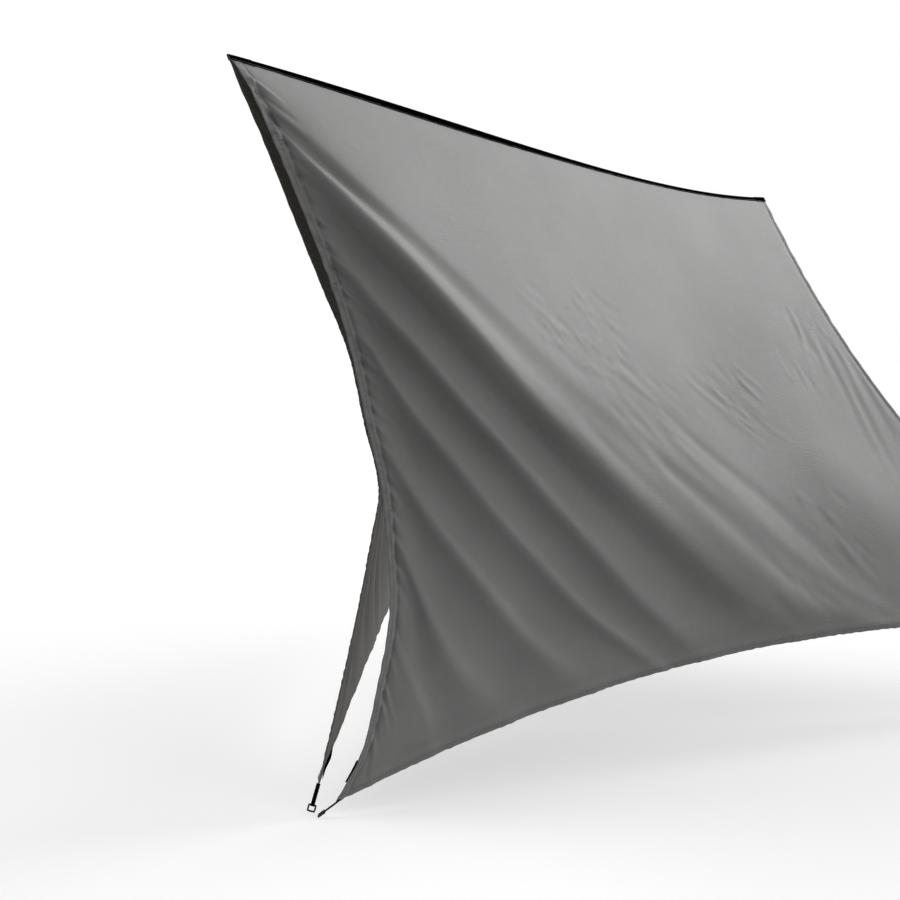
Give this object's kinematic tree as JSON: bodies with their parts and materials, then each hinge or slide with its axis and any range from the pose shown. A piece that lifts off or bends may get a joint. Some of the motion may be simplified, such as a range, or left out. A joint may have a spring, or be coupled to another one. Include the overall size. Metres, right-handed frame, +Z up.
{
  "type": "camping tarp",
  "caption": "Grey ridge tarp pitched as an A-frame, one end drawn in to a peg and the other spread open, with taped ridge, webbing corner straps and rectangular rings.",
  "frame": {"origin": "middle of the ridge line, on the top edge of the tarp", "axes": "+X along the ridge towards the open end, +Z up, -Y towards the front panel"},
  "size_m": [3.16, 2.9507, 1.9079],
  "materials": {
    "cloth": "coated plain-weave polyester, warm mid grey, low sheen",
    "webbing": "black flat-woven polyester webbing, matt",
    "ring": "black moulded acetal, satin"
  },
  "bodies": {
    "root": {"front_panel": "cloth", "back_panel": "cloth", "ridge_tape": "webbing", "ridge_cap_closed": "webbing", "ridge_cap_open": "webbing", "strap_front_closed": "webbing", "strap_back_closed": "webbing", "strap_front_open": "webbing", "strap_back_open": "webbing", "ring_front_closed": "ring", "ring_back_closed": "ring", "ring_front_open": "ring", "ring_back_open": "ring", "tab_front": "webbing", "tab_back": "webbing"}
  },
  "joints": []
}
